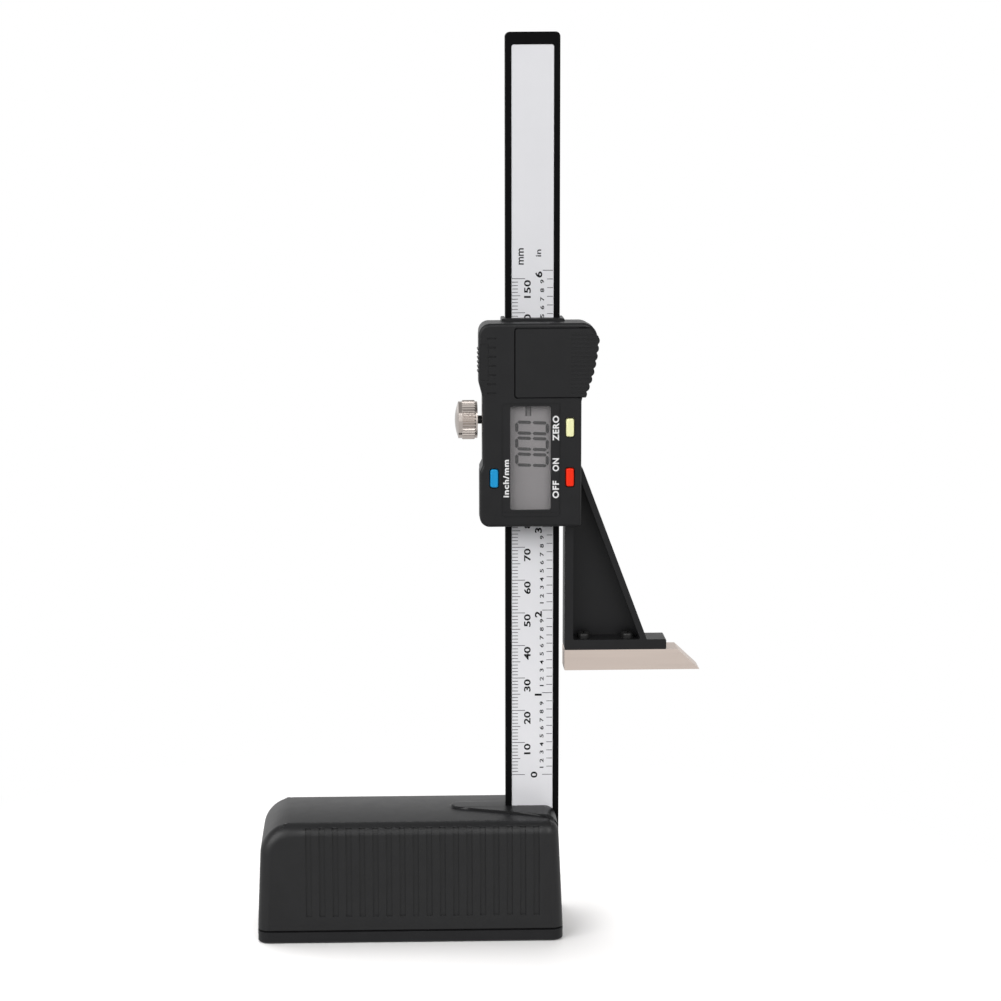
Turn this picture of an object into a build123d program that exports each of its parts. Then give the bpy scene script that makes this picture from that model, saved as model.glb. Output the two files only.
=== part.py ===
from build123d import *
import os
from math import cos, pi, radians, sin, sqrt, tan

# Digital height gauge, in millimetres.
# X runs along the base towards the scriber, Y from the scale side to the back, Z up.
# The origin is the centre of the base plate's underside.
# Column and slider pieces are built about the column's axis (x = 0 there), and slider pieces
# stand on z = 0 at the slider's bottom edge; place_on_column and place_on_slider move them.

# Fits and clearances
slip = 0.10            # sliding pieces, each side
seat = 0.05            # fixed pieces in their pockets, each side
key_gap = 0.33         # round a key in its opening

# Base
base_length = 91.5
base_depth = 36.0
base_corner = 3.5      # upright corners of plate and housing
plate_thick = 3.5
shadow_gap = 0.6       # dark line between plate and housing
shadow_inset = 0.9
housing_top = 36.2
housing_wall = 2.2
draft = 2.5            # degrees
end_radius = 9.5       # big rounding at the end away from the column
heel_radius = 3.6      # small rounding at the column's end
groove_pitch = 4.0
groove_width = 1.8
groove_depth = 0.6
groove_runout = 0.1    # groove depth where it ends on the top
groove_foot = 8.2      # height of the grooves' lower ends
groove_margin_left = 15.45   # end of the base to the first groove's middle
groove_margin_right = 8.05
tongue_rise = 0.6
tongue_reach = 24.5    # from the column's axis to the tongue's tip
tongue_tip = 3.0
tongue_angle = 17.0    # each side, degrees
stiffener_count = 3
stiffener_thick = 1.5
stiffener_foot = 16.0
post_radius = 2.8
post_inset_x = 6.35     # screw posts, from the base's ends
post_inset_y = 5.8
plate_screw_length = 11.0
magnet_radius = 8.0
magnet_thick = 2.6
magnet_inset = 18.75    # end magnet's middle, from the base's left end
magnet_column_gap = 25.3

# Column and scale
column_inset = 8.45    # column's axis, from the base's right end
column_width = 16.0
column_thick = 4.0
column_foot_z = 15.0
column_top = 268.1
column_corner = 1.4
column_chamfer = 0.3
recess_width = 12.4
recess_depth = 1.25
recess_foot = 30.0
recess_head = 3.6      # plain material above the recess
strip_thick = 0.9
label_thick = 0.2
sleeve_wall = 2.2
sleeve_foot = 22.5
block_width = 13.0
block_front = 4.0
block_post_gap = 1.4    # between the block and the screw posts
block_wall = 1.0        # behind the column screws' holes
block_shift = -1.5
column_screw_z = 18.6
column_screw_pitch = 7.0
foot_screw_length = 10.0
screw_tip_gap = 0.5     # past a screw's tip in the block
post_tip_gap = 2.5      # past a screw's tip in a housing post

# Slider outline, seen from the scale side
scriber_rest = 80.0    # height of the scriber's underside at rest
slider_height = 59.95
lower_left = 16.0
waist_left = 15.15
upper_left = 16.2
slider_right = 13.8
wing_right = 18.4
waist_share = 0.3      # waist's lower end, as a share of the slider's height
waist_drop = 21.3      # waist's upper end, below the slider's top
wing_drop_low = 22.9
wing_drop_high = 5.9
frame_inset = 0.4      # frame's outline inside the cover's
frame_front = 5.0      # parting plane of frame and cover, in front of the column's centre
frame_back = 4.0
cover_front = 11.5
edge_round = 0.9

# Slider frame
collar_half = 9.2
collar_rise = 0.8
board_seat = 2.6       # board's back face, in front of the column's centre
sensor_half = 6.4
sensor_low = 12.0
sensor_drop = 9.5
screw_x = 9.6
screw_margin = 4.2
plate_half = 11.3
plate_margin = 2.0
back_plate_thick = 1.4
gib_thick = 0.8
gib_height = 3.6
gib_margin = 6.6
lock_offset = 2.1      # lock screw above the middle of the waist
insert_radius = 2.1
insert_length = 3.6
insert_recess = 0.5    # bush below the cheek's face

# Bracket arm and scriber
arm_left = 9.5
arm_rib = 2.5
arm_drop = 38.65       # slider's bottom edge down to the flange's underside
flange_thick = 3.05
flange_right = 39.9
flange_round = 0.4
brace_top_x = 14.6
brace_top_z = 16.5
brace_foot_x = 34.1
brace_thick = 1.8
web_thick = 1.6
scriber_left = 9.4
scriber_height = 6.2
scriber_top_right = 43.3
scriber_tip = 49.9
scriber_screw_xs = (15.4, 28.6)

# Front cover
cover_wall = 1.3
face_wall = 1.8
bezel_left = -9.6
bezel_right = 7.6
bezel_low = 3.0
bezel_gap = 1.5        # below the battery cover
bezel_depth = 0.35
bezel_step = 1.2
bezel_rim = 0.2
window_left = -7.05
window_right = 4.9
window_low = 4.95
window_gap = 2.4       # below the battery cover
window_corner = 0.8
glass_lap = 0.65       # glass beyond the window at the sides
glass_lap_long = 1.1   # and at the ends
display_gap = 0.1      # between lens and display glass
glass_thick = 2.0
lens_flange = 0.8
lens_sink = 0.25
well_wall = 1.0
pillar_radius = 1.8
connector_width = 1.6
connector_inset = 1.0
grip_count = 7
grip_pitch = 2.66
grip_drop = 4.3
grip_left = -13.8
grip_right = -11.2
grip_width = 0.5
grip_depth = 0.35
pad_left = -15.8
pad_right = -13.3
pad_drop_low = 16.6
pad_drop_high = 5.8
pad_depth = 0.25
tooth_count = 6
tooth_pitch = 1.3
tooth_drop = 7.5
tooth_size = 0.9

# Keys
key_width = 2.25
key_length = 5.3
key_stand = 0.4        # how far a key stands out of the cover
key_travel = 0.4
key_flange = 0.6
key_overlap = 0.3      # flange behind the cover, each side
key_right = 10.42
key_left = -11.77
zero_share = 0.794     # keys' heights, as shares of the display window's height
power_share = 0.317
units_share = 0.312
switch_size = 3.0
switch_body = 1.0
switch_plunger = 0.5

# Circuit board and battery
board_left = -13.4
board_right = 12.0
board_margin = 1.8
board_thick = 1.0
chip_left = -11.5
chip_width = 2.9
chip_length = 8.0
chip_tall = 0.9
board_notch_x = 7.5
board_notch_z = 2.2    # beyond the screw's centre
battery_radius = 5.8
battery_thick = 5.4
battery_x = 6.0
battery_offset = 0.7   # battery's middle below the bay's middle
bay_floor = 1.0
ring_wall = 0.8
strip_metal = 0.2

# Battery cover
door_left = -5.7
door_height = 20.4
door_margin = 1.4      # below the slider's top
door_thick = 1.1
door_corner = 1.0
door_edge_low = 14.9   # scalloped edge: x at its foot, at its middle and at its widest
door_edge_mid = 18.0
door_edge_wide = 19.05
door_edge_round = 2.6
door_gap = 0.2
door_edge_break = 0.25
tongue_thick = 0.4
tongue_width = 0.4
lobe_radius = 1.5
lobe_rise = 0.4
lobe_count = 8
door_rib_left = 10.7
door_rib_pitch = 1.3
door_rib_width = 0.5
door_rib_depth = 0.12

# Lock screw
knob_radius = 5.8
knob_end = -22.9
cap_left = -21.9
cap_radius = 5.3
knurl_left = -20.9
knurl_right = -16.9
knob_back = -16.3
knurl_count = 36
knurl_depth = 0.32
shank_radius = 1.25
shoe_length = 1.2
lock_travel = 0.25

# Screws
m25_radius = 1.25
m16_radius = 0.8
m2_radius = 1.0
head_m25 = 2.4
head_m25_tall = 1.4
head_m16 = 1.45
head_m16_tall = 0.8
head_m2 = 2.0
head_m2_tall = 1.6
drive_width = 0.5
drive_depth = 0.4

# Worked out from the driving dimensions
column_x = base_length / 2 - column_inset
post_x = base_length / 2 - post_inset_x
post_y = base_depth / 2 - post_inset_y
post_hole = plate_screw_length - plate_thick + post_tip_gap
block_hole = foot_screw_length - plate_thick + screw_tip_gap
block_back = post_y - post_radius - block_post_gap
magnet_xs = (magnet_inset - base_length / 2, column_x - magnet_column_gap)
column_half = column_width / 2
column_face = column_thick / 2
housing_foot = plate_thick + shadow_gap
slider_z = scriber_rest + scriber_height + arm_drop
channel_half = column_half + slip
channel_face = column_face + slip
face_inside = cover_front - face_wall
door_floor = cover_front - door_thick - slip
battery_front = door_floor - seat
board_front = board_seat + board_thick
board_high = slider_height - board_margin
sensor_high = slider_height - sensor_drop
screw_high = slider_height - screw_margin
waist_low = slider_height * waist_share
waist_high = slider_height - waist_drop
wing_low = slider_height - wing_drop_low
wing_high = slider_height - wing_drop_high
lock_z = (waist_low + waist_high) / 2 + lock_offset
door_high = slider_height - door_margin
door_low = door_high - door_height
battery_z = (door_low + door_high) / 2 - battery_offset
bezel_high = door_low - bezel_gap
window_high = door_low - window_gap
window_height = window_high - window_low
glass_width = window_right - window_left + 2 * glass_lap
glass_length = window_height + 2 * glass_lap_long
display_front = face_inside - lens_flange - display_gap
zero_key = (key_right, window_low + zero_share * window_height)
power_key = (key_right, window_low + power_share * window_height)
units_key = (key_left, window_low + units_share * window_height)


def box(x0, x1, y0, y1, z0, z1):
    """Block between two corners."""
    size = Box(x1 - x0, y1 - y0, z1 - z0)
    return Pos((x0 + x1) / 2, (y0 + y1) / 2, (z0 + z1) / 2) * size


def upright(sketch, y_front, y_back):
    """Stand an x-z sketch up and extrude it from y_back forward to y_front."""
    plane = Plane(origin=(0, y_back, 0), x_dir=(1, 0, 0), z_dir=(0, -1, 0))
    return extrude(plane * sketch, amount=y_back - y_front)


def rect(x0, x1, z0, z1, corner=0.0):
    """Rectangle between two corners, with rounded corners if asked."""
    width, height = x1 - x0, z1 - z0
    shape = RectangleRounded(width, height, corner) if corner else Rectangle(width, height)
    return Pos((x0 + x1) / 2, (z0 + z1) / 2) * shape


def round_corner(sketch, x, z, radius):
    """Round the sketch corner nearest to a point."""
    corner = min(sketch.vertices(), key=lambda v: (v.X - x) ** 2 + (v.Y - z) ** 2)
    return fillet(corner, radius)


def rounded_polygon(corners):
    """Polygon from (x, z, radius) corners, anticlockwise; a radius of 0 leaves one sharp."""
    sketch = Polygon(*[(x, z) for x, z, _ in corners], align=None)
    for x, z, radius in corners:
        if radius:
            sketch = round_corner(sketch, x, z, radius)
    return sketch


def rod_x(x0, x1, y, z, radius):
    """Round bar along X."""
    return Pos((x0 + x1) / 2, y, z) * Rot(0, 90, 0) * Cylinder(radius, x1 - x0)


def rod_y(x, y0, y1, z, radius):
    """Round bar along Y."""
    return Pos(x, (y0 + y1) / 2, z) * Rot(90, 0, 0) * Cylinder(radius, y1 - y0)


def rod_z(x, y, z0, z1, radius):
    """Round bar along Z."""
    return Pos(x, y, (z0 + z1) / 2) * Cylinder(radius, z1 - z0)


def cross_slot(radius):
    """Cross-shaped drive recess about the origin, drive_depth deep below z = 0."""
    arm = Box(radius * 1.3, drive_width, drive_depth)
    return Pos(0, 0, -drive_depth / 2) * (arm + Rot(0, 0, 90) * arm)


def pan_screw(radius, length, head, head_tall):
    """Pan-head screw: shank down from z = 0, head above it."""
    top = Pos(0, 0, head_tall / 2) * Cylinder(head, head_tall)
    top = fillet(top.edges().group_by(Axis.Z)[-1], head_tall * 0.45)
    screw = top + Pos(0, 0, -length / 2) * Cylinder(radius, length)
    return screw - Pos(0, 0, head_tall) * cross_slot(head)


def flat_screw(radius, length, head, head_tall):
    """Countersunk screw: head flush at z = 0, shank down."""
    cone = Pos(0, 0, -head_tall / 2) * Cone(radius, head, head_tall)
    screw = cone + Pos(0, 0, -length / 2) * Cylinder(radius, length)
    return screw - cross_slot(head)


def mirrored_xy(x, y):
    """The four places (+-x, +-y)."""
    return [(sx * x, sy * y) for sx in (-1, 1) for sy in (-1, 1)]


# Base

def loaf(length, depth, foot, top, big_radius, small_radius, edge):
    """Drafted block with a big rounding at the -X end, all long edges rounded."""
    lean = (top - foot) * tan(radians(draft))
    half = length / 2
    side = rounded_polygon([
        (-half, foot, 0), (half, foot, 0),
        (half - lean, top, small_radius), (-half + lean, top, big_radius)])
    body = upright(side, -depth / 2, depth / 2)
    section = Polygon((-depth / 2, foot), (depth / 2, foot), (depth / 2 - lean, top),
                      (-depth / 2 + lean, top), align=None)
    across = Plane(origin=(-length, 0, 0), x_dir=(0, 1, 0), z_dir=(1, 0, 0))
    body = body & extrude(across * section, amount=2 * length)
    faces = body.faces().sort_by(Axis.Y)
    rims = [e for face in (faces[0], faces[-1]) for e in face.edges()
            if e.center().Z > foot + 0.01]
    return fillet(rims, edge)


def tongue_outline():
    """Tapered tongue with a round tip, centred on the column's axis."""
    slope = radians(tongue_angle)
    apex = column_x - tongue_reach + tongue_tip - tongue_tip / sin(slope)
    right = base_length
    wide = (right - apex) * tan(slope)
    wedge = Polygon((apex, 0), (right, -wide), (right, wide), align=None)
    return round_corner(wedge, apex, 0, tongue_tip)


def groove_cutters():
    """Grooves in both long faces and over their top roundings, of even depth."""
    core = loaf(base_length, base_depth - 2 * groove_depth, housing_foot,
                housing_top - groove_runout, end_radius, heel_radius, base_corner)
    lean = (housing_top - housing_foot) * tan(radians(draft))
    inner = base_depth / 2 - lean - base_corner
    row = base_length - groove_margin_left - groove_margin_right
    count = int(row / groove_pitch + 0.01) + 1
    last = base_length / 2 - groove_margin_right
    cutters = []
    for side in (-1, 1):
        y0, y1 = sorted((side * inner, side * base_depth))
        for i in range(count):
            x = last - i * groove_pitch
            slab = box(x - groove_width / 2, x + groove_width / 2, y0, y1,
                       groove_foot, housing_top + 1)
            cutters.append(slab - core)
    return cutters


def base_housing():
    """Hollow moulded shell with the column's sleeve, screw posts and stiffeners."""
    outer = loaf(base_length, base_depth, housing_foot, housing_top,
                 end_radius, heel_radius, base_corner)
    taller = loaf(base_length, base_depth, housing_foot, housing_top + tongue_rise,
                  end_radius, heel_radius, base_corner)
    pad_block = extrude(tongue_outline(), amount=housing_top + tongue_rise)
    top_zone = box(-base_length, base_length, -base_depth, base_depth,
                   housing_top - 2 * heel_radius, housing_top + tongue_rise)
    outer = outer + (taller & pad_block & top_zone)
    cavity = loaf(base_length - 2 * housing_wall, base_depth - 2 * housing_wall,
                  housing_foot, housing_top - housing_wall,
                  end_radius - housing_wall, heel_radius - housing_wall,
                  base_corner - housing_wall)
    body = outer - cavity
    lip_l = base_length - 2 * shadow_inset
    lip_d = base_depth - 2 * shadow_inset
    wall = housing_wall - shadow_inset
    lip = RectangleRounded(lip_l, lip_d, base_corner - shadow_inset)
    lip = lip - RectangleRounded(lip_l - 2 * wall, lip_d - 2 * wall, base_corner - housing_wall)
    body = body + Pos(0, 0, plate_thick) * extrude(lip, amount=shadow_gap + 0.4)
    body = body + (housing_inside() & outer)
    body = body - column_slot()
    for x, y in mirrored_xy(post_x, post_y):
        body = body - rod_z(x, y, plate_thick, plate_thick + post_hole, m25_radius + seat)
    return body - groove_cutters()


def housing_inside():
    """Sleeve, posts and stiffeners under the housing's roof."""
    roof = housing_top
    sleeve_left = column_x - column_half - slip - sleeve_wall
    sleeve_y = column_face + slip + sleeve_wall
    parts = box(sleeve_left, base_length / 2, -sleeve_y, sleeve_y, sleeve_foot, roof)
    post_foot = housing_foot
    for x, y in mirrored_xy(post_x, post_y):
        parts = parts + rod_z(x, y, post_foot, roof, post_radius)
    reach = base_length / 2 + sleeve_left
    for i in range(stiffener_count):
        x = sleeve_left - (i + 1) * reach / (stiffener_count + 1)
        parts = parts + box(x, x + stiffener_thick, -base_depth / 2, base_depth / 2,
                            stiffener_foot, roof)
    return parts


def post_feet():
    """Ends of the screw posts between the housing's rim and the plate."""
    feet = []
    for x, y in mirrored_xy(post_x, post_y):
        foot = rod_z(x, y, plate_thick, housing_foot + 0.4, post_radius)
        feet.append(foot - rod_z(x, y, plate_thick, plate_thick + post_hole, m25_radius + seat))
    return feet


def column_slot():
    """Opening for the column, from the cavity up through the roof."""
    half = column_half + seat
    deep = column_face + seat
    return box(column_x - half, column_x + half, -deep, deep,
               column_foot_z - slip, housing_top + 2 * tongue_rise)


def base_plate():
    """Bottom plate with magnet pockets and countersunk holes."""
    outline = RectangleRounded(base_length, base_depth, base_corner)
    plate = extrude(outline, amount=plate_thick)
    plate = chamfer(plate.edges().group_by(Axis.Z)[0], 0.5)
    for x in magnet_xs:
        plate = plate - rod_z(x, 0, 0, magnet_thick + seat, magnet_radius + seat)
    for x, y in mirrored_xy(post_x, post_y) + foot_screw_places():
        plate = plate - Pos(x, y, 0) * plate_screw_hole()
    return plate


def plate_screw_hole():
    """Through hole with a countersink at its lower end."""
    hole = rod_z(0, 0, 0, plate_thick, m25_radius + seat)
    sink = Cone(head_m25 + seat, m25_radius + seat, head_m25_tall)
    return hole + Pos(0, 0, head_m25_tall / 2) * sink


def foot_screw_places():
    """Two screws from below into the column's block."""
    x = column_x + block_shift
    y = (block_back - block_front) / 2
    return [(x - column_screw_pitch / 2, y), (x + column_screw_pitch / 2, y)]


def upward_screw(x, y, length):
    """Countersunk screw driven up through the base plate."""
    return Pos(x, y, 0) * Rot(180, 0, 0) * flat_screw(m25_radius, length, head_m25, head_m25_tall)


def base_plate_screws():
    return Compound([upward_screw(x, y, plate_screw_length) for x, y in mirrored_xy(post_x, post_y)])


def foot_screws():
    return Compound([upward_screw(x, y, foot_screw_length) for x, y in foot_screw_places()])


def base_magnets():
    """Two disc magnets, set just inside the plate's underside."""
    return Compound([rod_z(x, 0, seat, magnet_thick, magnet_radius) for x in magnet_xs])


def column_foot():
    """Machined block: a shelf under the column and an upright behind it."""
    left = column_x + block_shift - block_width / 2
    right = left + block_width
    block = box(left, right, -block_front, block_back, plate_thick, column_foot_z)
    block = block + box(left, right, column_face, block_back, plate_thick, sleeve_foot - 0.5)
    block = chamfer(block.edges().filter_by(Axis.Z), 0.6)
    for x, y in foot_screw_places():
        block = block - rod_z(x, y, plate_thick, plate_thick + block_hole, m25_radius + seat)
    for x in column_screw_xs():
        block = block - rod_y(x + column_x, column_face, block_back - block_wall, column_screw_z,
                              m25_radius + seat)
    return block


def column_screw_xs():
    """Screw places across the column, about its axis."""
    return (block_shift - column_screw_pitch / 2, block_shift + column_screw_pitch / 2)


# Column, about its own axis

def column():
    """Moulded beam with rounded top corners and a recess for the scale."""
    outline = rect(-column_half, column_half, column_foot_z, column_top)
    for side in (-1, 1):
        outline = round_corner(outline, side * column_half, column_top, column_corner)
    beam = upright(outline, -column_face, column_face)
    rims = [e for e in beam.edges() if abs(abs(e.center().Y) - column_face) < 1e-4]
    beam = chamfer(rims, column_chamfer)
    beam = beam - scale_block(recess_width / 2, recess_depth, 0, column_corner / 2)
    for x in column_screw_xs():
        beam = beam - rod_y(x, -column_face, column_face, column_screw_z, m25_radius + seat)
    return beam


def scale_block(half, deep, clear, corner):
    """Long flat block in the column's recess: half width, and depth from the column's face."""
    outline = rect(-half, half, recess_foot + clear, column_top - recess_head - clear, corner)
    return upright(outline, -column_face, -column_face + deep)


def scale_strip():
    """Scale board on the recess floor."""
    outline = rect(-recess_width / 2 + seat, recess_width / 2 - seat, recess_foot + seat,
                   column_top - recess_head - seat, column_corner / 2)
    floor = -column_face + recess_depth
    return upright(outline, floor - strip_thick, floor)


def scale_label():
    """Printed film on the scale board."""
    outline = rect(-recess_width / 2 + seat, recess_width / 2 - seat, recess_foot + seat,
                   column_top - recess_head - seat, column_corner / 2)
    back = -column_face + recess_depth - strip_thick
    return upright(outline, back - label_thick, back)


def column_screws():
    """Two screws through the column's foot into the block."""
    grip = block_back - block_wall - screw_tip_gap + column_face
    screw = pan_screw(m25_radius, grip, head_m25, head_m25_tall)
    turned = Rot(90, 0, 0) * screw
    return Compound([Pos(x, -column_face, column_screw_z) * turned for x in column_screw_xs()])


# Slider, about the column's axis, with z = 0 at its bottom edge

def slider_outline(grow=0.0):
    """Outline of frame and cover: waist on the left, battery wing on the right."""
    top = slider_height
    sketch = rounded_polygon([
        (-lower_left, 0, 3.0), (slider_right, 0, 0.8), (slider_right, wing_low, 2.0),
        (wing_right, wing_high, 3.0), (wing_right, top, 4.6), (-upper_left, top, 3.4),
        (-upper_left, waist_high + 4.0, 4.0), (-waist_left, waist_high, 4.0),
        (-waist_left, waist_low + 0.4, 1.2), (-lower_left, waist_low - 1.4, 1.2)])
    return offset(sketch, grow) if grow else sketch


def screw_places():
    """Four screws that hold back plate, frame and cover together."""
    return [(x, z) for x in (-screw_x, screw_x) for z in (screw_margin, screw_high)]


def board_outline(grow=0.0):
    """Circuit board with a notch at each corner for the frame's screw bosses."""
    sketch = rect(board_left - grow, board_right + grow, board_margin - grow, board_high + grow)
    for x, z in screw_places():
        far = 2 * board_notch_x * (1 if x > 0 else -1)
        near = (board_notch_x + grow) * (1 if x > 0 else -1)
        low = z < slider_height / 2
        edge = z + (board_notch_z if low else -board_notch_z) + grow * (-1 if low else 1)
        end = -slider_height if low else 2 * slider_height
        sketch = sketch - rect(min(near, far), max(near, far), min(edge, end), max(edge, end))
    return sketch


def brace_line():
    """Foot of the brace's outer edge on the flange, and its unit direction up to the top."""
    foot = (brace_foot_x, -arm_drop + flange_thick)
    run, rise = brace_top_x - foot[0], brace_top_z - foot[1]
    length = sqrt(run * run + rise * rise)
    return foot, (run / length, rise / length)


def bracket_arm():
    """Bracket below the slider: upright rib, sloping brace, flange and a thin back web."""
    foot, (dx, dz) = brace_line()
    under = -arm_drop
    outline = rounded_polygon([
        (arm_left, under, 0.4), (flange_right, under, 0.4), (flange_right, foot[1], flange_round),
        (foot[0], foot[1], 0.4), (brace_top_x, brace_top_z, 0.5), (slider_right - 2, brace_top_z, 0),
        (arm_left, 1.0, 0)])
    arm = upright(outline, -frame_front, frame_back)
    shift_x, shift_z = -dz * brace_thick, dx * brace_thick
    low_x = foot[0] + shift_x
    low_z = foot[1] + shift_z
    meet = low_x + (foot[1] - low_z) * dx / dz
    top_x = slider_right
    top_z = foot[1] + (top_x - meet) * dz / dx
    pocket = rounded_polygon([
        (arm_left + arm_rib, foot[1], 0.5), (meet, foot[1], 0.5), (top_x, top_z, 0),
        (arm_left + arm_rib, top_z, 0)])
    return arm - upright(pocket, -frame_front - 1, frame_back - web_thick)


def slider_frame():
    """Moulded frame: guide channel, board pocket, lock bush bore and the bracket arm."""
    core = upright(slider_outline(-frame_inset), -frame_front, frame_back)
    core = fillet(core.faces().sort_by(Axis.Y)[-1].edges(), edge_round * 0.6)
    body = bracket_arm() + core
    lug = rect(-collar_half, collar_half, slider_height - 2, slider_height + collar_rise, 0.4)
    body = body + upright(lug, -frame_front, channel_face + back_plate_thick)
    body = body - box(-channel_half, channel_half, -channel_face, frame_back + 1,
                      -1, slider_height + 2)
    body = body - upright(rect(-plate_half - seat, plate_half + seat, plate_margin - seat,
                               slider_height - plate_margin + seat, 1.0),
                          channel_face, frame_back + 1)
    body = body - upright(board_outline(seat), -frame_front - 1, -board_seat)
    body = body - box(-sensor_half, sensor_half, -board_seat - 1, 0, sensor_low, sensor_high)
    body = body - box(-channel_half - gib_thick - seat, 0, -gib_height / 2 - seat,
                      gib_height / 2 + seat, gib_margin - seat, slider_height - gib_margin + seat)
    body = body - rod_x(-lower_left - 2, -waist_left + insert_length, 0, lock_z, insert_radius + seat)
    body = body - rod_x(-lower_left, -channel_half, 0, lock_z, shank_radius + slip)
    for x, z in screw_places():
        body = body - rod_y(x, -frame_front - 1, frame_back, z, m16_radius + seat)
    for x in scriber_screw_xs:
        body = body - rod_z(x, scriber_y(), -arm_drop - 1, -arm_drop + flange_thick + 1, m2_radius + seat)
    return body


def scriber_y():
    """Middle of the scriber and of the arm's flange."""
    return (frame_back - frame_front) / 2 - web_thick / 2


def scriber():
    """Bevelled bar screwed under the flange."""
    under = -arm_drop - scriber_height
    outline = Polygon((scriber_left, under), (scriber_tip, under),
                      (scriber_top_right, -arm_drop), (scriber_left, -arm_drop), align=None)
    bar = upright(outline, -frame_front, frame_back)
    bar = chamfer([e for e in bar.edges() if abs(e.center().X - scriber_left) < 1e-3], 0.2)
    for x in scriber_screw_xs:
        bar = bar - rod_z(x, scriber_y(), -arm_drop - 4.5, -arm_drop + 1, m2_radius + seat)
    return bar


def scriber_screws():
    """Two screws down through the flange into the scriber."""
    screw = pan_screw(m2_radius, flange_thick + 4.0, head_m2, head_m2_tall)
    top = -arm_drop + flange_thick
    return Compound([Pos(x, scriber_y(), top) * screw for x in scriber_screw_xs])


def back_plate():
    """Steel plate in the frame's back, which keeps the slider on the column."""
    outline = rect(-plate_half, plate_half, plate_margin, slider_height - plate_margin, 1.0)
    plate = upright(outline, channel_face, channel_face + back_plate_thick)
    for x, z in screw_places():
        plate = plate - rod_y(x, 0, frame_back, z, m16_radius + seat)
    return plate


def slider_screws():
    """Four screws from the back plate into the cover's posts."""
    length = channel_face + back_plate_thick + face_inside - 1.2
    screw = Rot(-90, 0, 0) * pan_screw(m16_radius, length, head_m16, head_m16_tall)
    return Compound([Pos(x, channel_face + back_plate_thick, z) * screw
                     for x, z in screw_places()])


def gib_strip():
    """Thin strip between lock shoe and column."""
    return box(-channel_half - gib_thick, -channel_half, -gib_height / 2, gib_height / 2,
               gib_margin, slider_height - gib_margin)


def lock_insert():
    """Threaded bush pressed into the frame's left cheek."""
    left = frame_inset + insert_recess - waist_left
    bush = rod_x(left, -waist_left + insert_length, 0, lock_z, insert_radius)
    return bush - rod_x(-lower_left, 0, 0, lock_z, shank_radius + seat)


def circuit_board():
    """Reader board with a moulded controller chip on its front."""
    board = upright(board_outline(), -board_front, -board_seat)
    middle = slider_height / 2
    chip = box(chip_left, chip_left + chip_width, -board_front - chip_tall, -board_front,
               middle, middle + chip_length)
    return board + chamfer(chip.edges().group_by(Axis.Y)[0], chip_tall / 3)


def switch_places():
    return (zero_key, power_key, units_key)


def tact_switches():
    """A small switch under each key."""
    solids = []
    for x, z in switch_places():
        half = switch_size / 2
        body = box(x - half, x + half, -board_front - switch_body, -board_front, z - half, z + half)
        plunger = rod_y(x, -board_front - switch_body - switch_plunger,
                        -board_front - switch_body, z, 0.8)
        solids.append(body + plunger)
    return Compound(solids)


def window_centre():
    """Middle of the display window."""
    return (window_left + window_right) / 2, (window_low + window_high) / 2


def centred(width, height, corner=0.0):
    """Rectangle centred on the display window."""
    x, z = window_centre()
    return rect(x - width / 2, x + width / 2, z - height / 2, z + height / 2, corner)


def display_window():
    """Clear lens: a boss in the cover's opening and a flange behind it."""
    boss = rect(window_left + seat, window_right - seat, window_low + seat, window_high - seat,
                window_corner)
    lens = upright(boss, -(cover_front - bezel_depth - lens_sink), -face_inside)
    flange = upright(centred(glass_width, glass_length), -face_inside, -face_inside + lens_flange)
    return lens + flange


def lcd_glass():
    """Display glass behind the lens."""
    return upright(centred(glass_width, glass_length), -display_front,
                   -display_front + glass_thick)


def lcd_connectors():
    """Two elastomer strips from the display glass down to the board."""
    front = display_front - glass_thick
    x, z = window_centre()
    reach = glass_width / 2 - connector_inset
    strips = []
    for left in (x - reach, x + reach - connector_width):
        strips.append(box(left, left + connector_width, -front, -board_front,
                          z - glass_length / 2 + 1, z + glass_length / 2 - 1))
    return Compound(strips)


def key_opening(x, z):
    """Opening in the cover for a key."""
    half_w, half_l = key_width / 2 + key_gap, key_length / 2 + key_gap
    outline = rect(x - half_w, x + half_w, z - half_l, z + half_l, 0.9)
    return upright(outline, -cover_front - 1, -face_inside + 0.5)


def key(x, z):
    """Key cap, its flange behind the cover and the stem above the switch."""
    half_w, half_l = key_width / 2, key_length / 2
    cap = upright(rect(x - half_w, x + half_w, z - half_l, z + half_l, 0.6),
                  -cover_front - key_stand, -face_inside)
    cap = fillet(cap.faces().sort_by(Axis.Y)[0].edges(), 0.3)
    grow = key_gap + key_overlap
    flange = upright(rect(x - half_w - grow, x + half_w + grow, z - half_l - grow,
                          z + half_l + grow, 0.9), -face_inside, -face_inside + key_flange)
    stem_end = board_front + switch_body + switch_plunger + key_travel
    stem = box(x - 0.9, x + 0.9, -face_inside + key_flange / 2, -stem_end, z - 1.5, z + 1.5)
    return cap + flange + stem


def door_cutter():
    """Pocket for the battery cover, open towards +X, with tongue grooves above and below."""
    low, high = door_low - door_gap, door_high + door_gap
    far = wing_right + 10
    pocket = rect(door_left - door_gap, far, low, high)
    for z in (low, high):
        pocket = round_corner(pocket, door_left, z, door_corner)
    pocket = upright(pocket, -cover_front - 1, -door_floor)
    mid = (door_floor + cover_front) / 2
    half = tongue_thick / 2 + slip
    groove = box(door_left + 1 - slip, far, -mid - half, -mid + half,
                 door_low - tongue_width - slip, door_high + tongue_width + slip)
    return pocket + groove


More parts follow.
